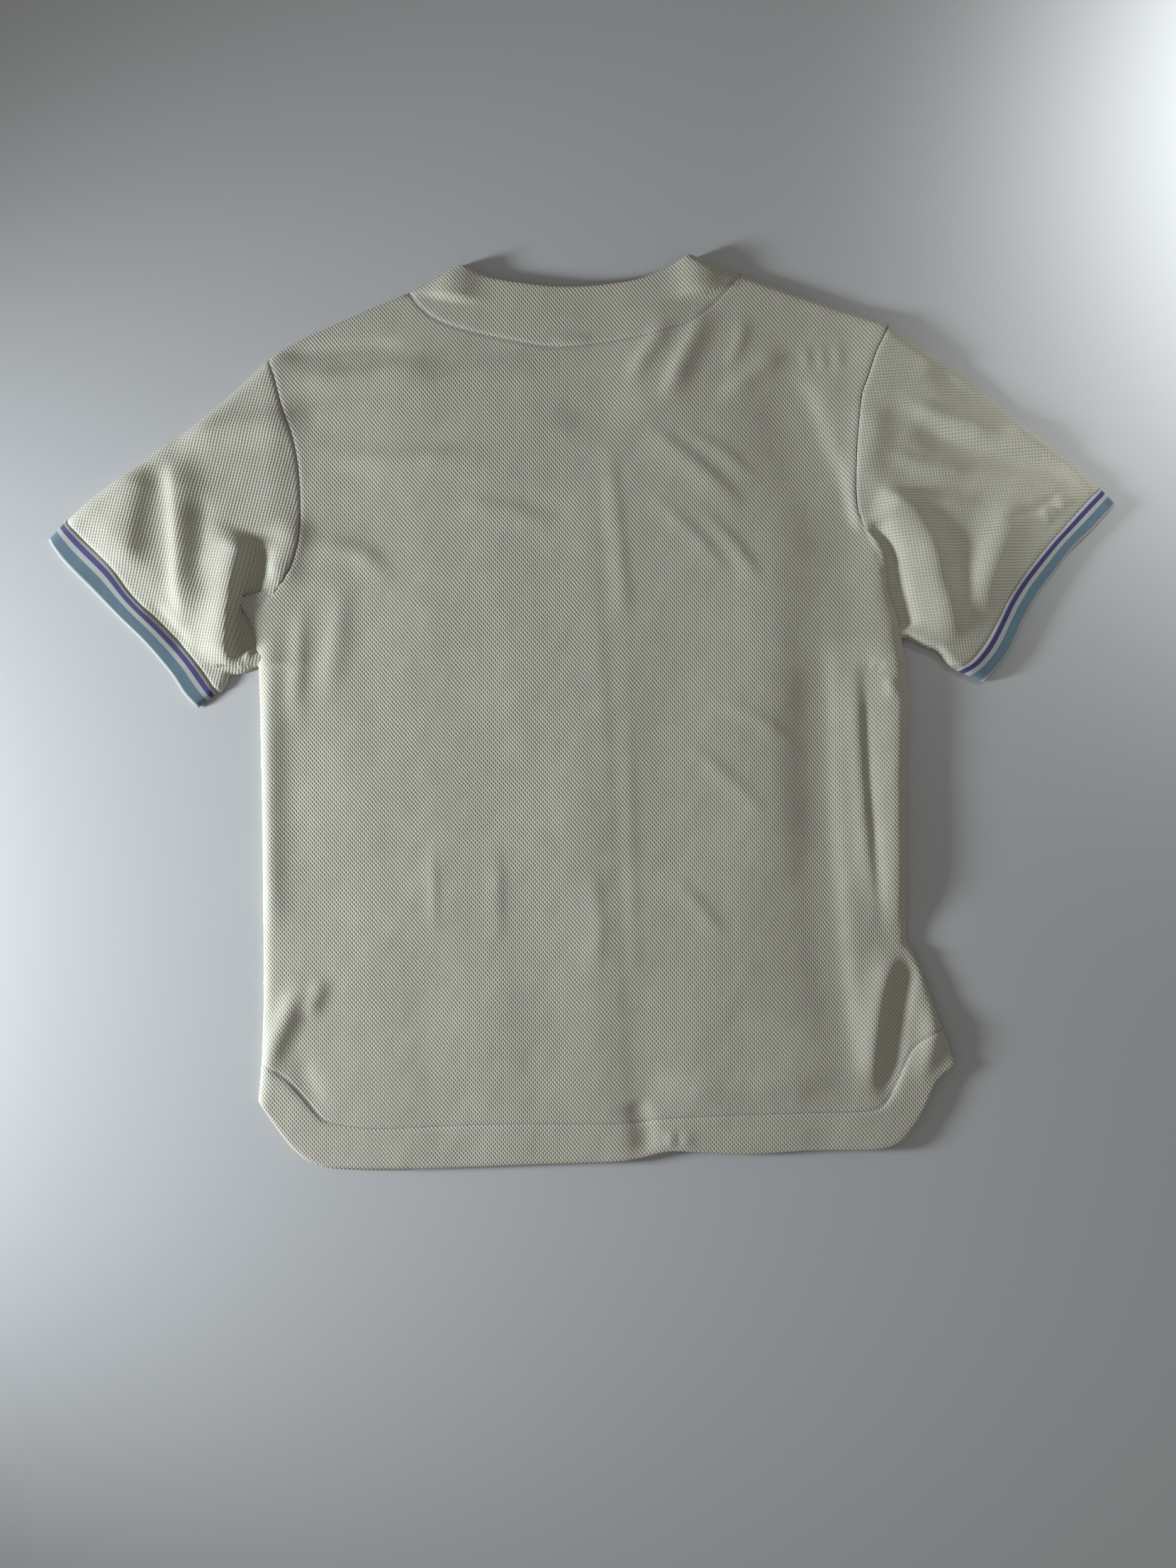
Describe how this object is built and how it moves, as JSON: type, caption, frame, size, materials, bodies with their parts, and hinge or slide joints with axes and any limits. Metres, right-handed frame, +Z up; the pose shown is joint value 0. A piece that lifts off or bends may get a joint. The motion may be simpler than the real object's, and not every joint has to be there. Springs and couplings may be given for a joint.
{
  "type": "sports jersey",
  "caption": "Short-sleeved mesh-knit sports jersey laid flat with its back up, with a faced back neck, set-in sleeves with striped rib cuffs and a rounded shirt-tail hem.",
  "frame": {"origin": "middle of the laid garment's box, on the surface that it lies on", "axes": "+X across the body towards the wearer's right sleeve, +Y from the hem to the neck, +Z up off the surface"},
  "size_m": [0.9154, 0.7852, 0.0197],
  "materials": {
    "mesh_knit": "cream pinhole mesh knit, matt with a faint sheen",
    "striped_rib": "flat rib knit in white, violet and grey-blue stripes, matt"
  },
  "bodies": {
    "root": {"back": "mesh_knit", "back_neck_facing": "mesh_knit", "front_left": "mesh_knit", "front_right": "mesh_knit", "sleeve_left": "mesh_knit", "sleeve_right": "mesh_knit", "cuff_left": "striped_rib", "cuff_right": "striped_rib"}
  },
  "joints": []
}
